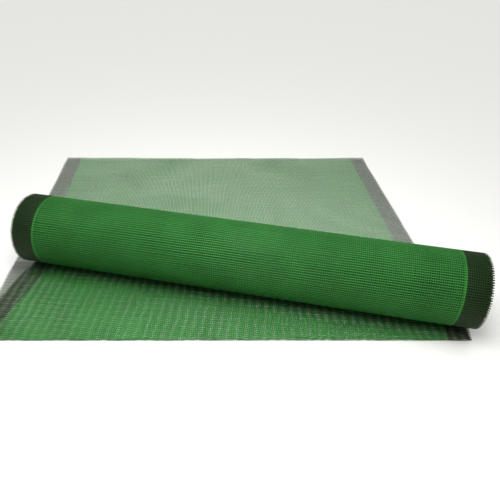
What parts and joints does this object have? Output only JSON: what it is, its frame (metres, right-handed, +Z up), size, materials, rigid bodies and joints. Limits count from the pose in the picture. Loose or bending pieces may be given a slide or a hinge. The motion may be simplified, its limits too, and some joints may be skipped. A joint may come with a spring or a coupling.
{
  "type": "roll of fiberglass mesh",
  "caption": "Roll of open green fiberglass render mesh with dark selvedge bands, lying askew across the flat run drawn off it, its short tail leading forward.",
  "frame": {"origin": "on the floor under the middle of the roll, on the underside of the laid run", "axes": "+X along the roll's axis, +Y across it towards the far end of the laid run, +Z up"},
  "size_m": [1.1893, 1.0011, 0.1586],
  "materials": {
    "mesh": "open-weave glass yarn with a soft-sheen green coating, near-black green in the two selvedge bands"
  },
  "bodies": {
    "root": {"mesh_roll": "mesh", "laid_run": "mesh"}
  },
  "joints": []
}
